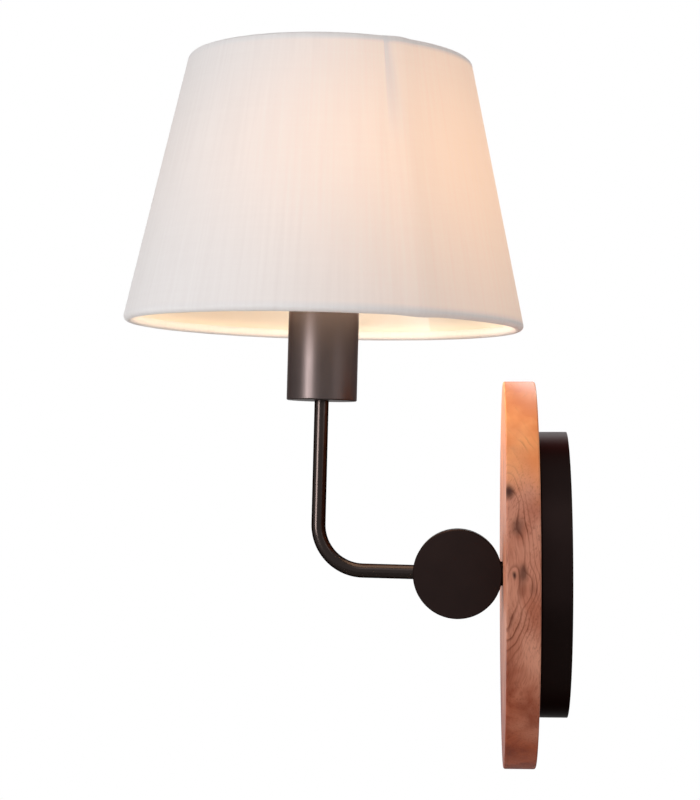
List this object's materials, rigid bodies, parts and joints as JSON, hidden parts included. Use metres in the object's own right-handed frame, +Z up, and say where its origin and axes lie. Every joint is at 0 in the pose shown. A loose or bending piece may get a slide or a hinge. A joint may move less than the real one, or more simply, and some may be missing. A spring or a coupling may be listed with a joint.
{
  "type": "wall lamp",
  "caption": "Wall lamp with a round wooden back plate, a tilting knuckle, a bent metal arm and a tapered fabric shade.",
  "frame": {"origin": "middle of the canopy's back rim, in the plane of the wall, between the two wall screw slots", "axes": "+Z up along the wall, -Y out into the room, X along the wall and along the tilt's axis"},
  "size_m": [0.224, 0.2474, 0.3965],
  "materials": {
    "dark_metal": "satin dark bronze lacquer",
    "wood": "oiled reddish brown hardwood",
    "steel": "zinc plated",
    "brass": "bare brass",
    "cap_metal": "pressed aluminium",
    "white_plastic": "moulded",
    "dark_insulation": "dark pressed fibre, and a black glassy bead",
    "white_wire": "white epoxy coated wire",
    "shade_liner": "translucent styrene sheet",
    "shade_fabric": "off-white woven cotton",
    "opal_glass": "opal glass, lit",
    "lead_insulation": "silicone sleeves, one lead brown and one blue"
  },
  "bodies": {
    "wall_base": {"wall_bracket": "steel", "earth_screw": "steel", "canopy": "dark_metal", "canopy_grub_screws": "dark_metal", "wood_disc": "wood", "wood_screws": "steel", "terminal_block": "white_plastic", "terminal_screws": "brass", "terminal_block_screw": "steel", "nipple": "steel", "nipple_washer": "steel", "nipple_nut": "steel", "nipple_bush": "white_plastic", "spacer_sleeve": "dark_metal", "knuckle_yoke": "steel", "wall_leads": "lead_insulation", "knuckle_leads": "lead_insulation"},
    "arm": {"knuckle_drum": "dark_metal", "knuckle_cap": "dark_metal", "pivot_bolt": "dark_metal", "arm_tube": "dark_metal", "lampholder_cup": "dark_metal", "spring_washer": "steel", "tube_locknut": "steel", "lampholder_nut": "steel", "thread_shell": "brass", "centre_contact": "brass", "bulb_contact": "brass", "bulb_cap": "cap_metal", "lampholder_base": "white_plastic", "lampholder_insert": "white_plastic", "lampholder_skirt": "white_plastic", "lower_shade_ring": "white_plastic", "upper_shade_ring": "white_plastic", "bulb_insulator": "dark_insulation", "friction_washer": "dark_insulation", "carrier_plate": "white_wire", "carrier_arms": "white_wire", "shade_bottom_ring": "white_wire", "shade_top_ring": "white_wire", "shade_liner": "shade_liner", "shade_fabric": "shade_fabric", "bulb_glass": "opal_glass", "arm_leads": "lead_insulation"}
  },
  "joints": [
    {"name": "arm_tilt", "type": "hinge", "parent": "wall_base", "child": "arm", "pos_m": [0, -0.06015, 0], "axis": [1, 0, 0], "range_deg": [-6.7, 31.3], "deforming": ["knuckle_leads"]}
  ]
}
